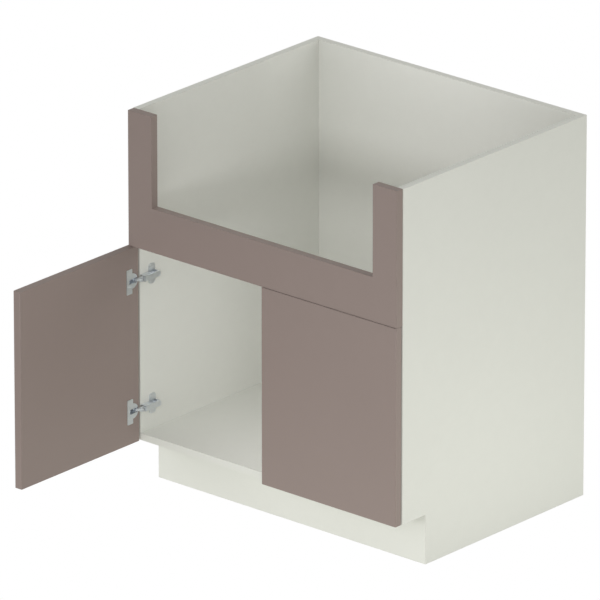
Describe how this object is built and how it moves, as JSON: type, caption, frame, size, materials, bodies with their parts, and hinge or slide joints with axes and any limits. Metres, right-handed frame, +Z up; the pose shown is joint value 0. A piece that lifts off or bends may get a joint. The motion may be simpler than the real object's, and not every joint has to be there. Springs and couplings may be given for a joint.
{
  "type": "sink base cabinet",
  "caption": "Sink base cabinet with an open top, a cut-out apron front and two slab doors on concealed hinges, one door open.",
  "frame": {"origin": "on the floor, in the middle of the back face that stands against the wall", "axes": "+X to the viewer's right facing the doors, +Y back to the wall, +Z up; the doors face -Y"},
  "size_m": [0.7636, 0.9869, 0.8763],
  "materials": {
    "carcass_board": "matte off-white laminate",
    "front_board": "matte taupe laminate",
    "hinge_steel": "satin nickel plate",
    "fastener_steel": "zinc plate",
    "dowel_wood": "bare beech",
    "dowel_nylon": "moulded nylon"
  },
  "bodies": {
    "carcass": {"left_side_panel": "carcass_board", "right_side_panel": "carcass_board", "bottom_deck": "carcass_board", "back_panel": "carcass_board", "toe_kick_board": "carcass_board", "apron_fascia": "front_board", "deck_dowels": "dowel_wood", "back_dowels": "dowel_wood", "toe_kick_dowels": "dowel_wood", "fascia_dowels": "dowel_wood", "left_upper_arm": "hinge_steel", "left_upper_nose": "hinge_steel", "left_upper_mounting_plate": "hinge_steel", "left_lower_arm": "hinge_steel", "left_lower_nose": "hinge_steel", "left_lower_mounting_plate": "hinge_steel", "left_arm_pins": "fastener_steel", "left_plate_dowels": "dowel_nylon", "left_arm_rivets": "fastener_steel", "right_upper_arm": "hinge_steel", "right_upper_nose": "hinge_steel", "right_upper_mounting_plate": "hinge_steel", "right_lower_arm": "hinge_steel", "right_lower_nose": "hinge_steel", "right_lower_mounting_plate": "hinge_steel", "right_arm_pins": "fastener_steel", "right_plate_dowels": "dowel_nylon", "right_arm_rivets": "fastener_steel"},
    "left_outer_links": {"left_upper_outer_link": "hinge_steel", "left_lower_outer_link": "hinge_steel"},
    "left_inner_links": {"left_upper_inner_link": "hinge_steel", "left_lower_inner_link": "hinge_steel"},
    "left_door": {"left_door": "front_board", "left_upper_cup": "hinge_steel", "left_lower_cup": "hinge_steel", "left_cup_pins": "fastener_steel", "left_cup_dowels": "dowel_nylon"},
    "right_outer_links": {"right_upper_outer_link": "hinge_steel", "right_lower_outer_link": "hinge_steel"},
    "right_inner_links": {"right_upper_inner_link": "hinge_steel", "right_lower_inner_link": "hinge_steel"},
    "right_door": {"right_door": "front_board", "right_upper_cup": "hinge_steel", "right_lower_cup": "hinge_steel", "right_cup_pins": "fastener_steel", "right_cup_dowels": "dowel_nylon"}
  },
  "joints": [
    {"name": "left_door_swing", "type": "hinge", "parent": "left_outer_links", "child": "left_door", "pos_m": [-0.37105, -0.61619, 0.34], "axis": [0, 0, -1], "range_deg": [-105.66, 5.87]},
    {"name": "left_outer_link_turn", "type": "hinge", "parent": "carcass", "child": "left_outer_links", "pos_m": [-0.3573, -0.61005, 0.34], "axis": [0, 0, -1], "range_deg": [-0.87, 15.66]},
    {"name": "left_inner_link_turn", "type": "hinge", "parent": "carcass", "child": "left_inner_links", "pos_m": [-0.3535, -0.60725, 0.34], "axis": [0, 0, -1], "range_deg": [-2, 36.09]},
    {"name": "right_door_swing", "type": "hinge", "parent": "right_outer_links", "child": "right_door", "pos_m": [0.3722, -0.61225, 0.34], "axis": [0, 0, 1], "range_deg": [0, 111.53]},
    {"name": "right_outer_link_turn", "type": "hinge", "parent": "carcass", "child": "right_outer_links", "pos_m": [0.3573, -0.61005, 0.34], "axis": [0, 0, 1], "range_deg": [-16.53, 0]},
    {"name": "right_inner_link_turn", "type": "hinge", "parent": "carcass", "child": "right_inner_links", "pos_m": [0.3535, -0.60725, 0.34], "axis": [0, 0, 1], "range_deg": [-38.09, 0]}
  ],
  "couplings": [
    {"joint": "left_outer_link_turn", "follows": "left_door_swing", "ratio": -0.14821},
    {"joint": "left_inner_link_turn", "follows": "left_door_swing", "ratio": -0.34157},
    {"joint": "right_outer_link_turn", "follows": "right_door_swing", "ratio": -0.14821},
    {"joint": "right_inner_link_turn", "follows": "right_door_swing", "ratio": -0.34157}
  ]
}
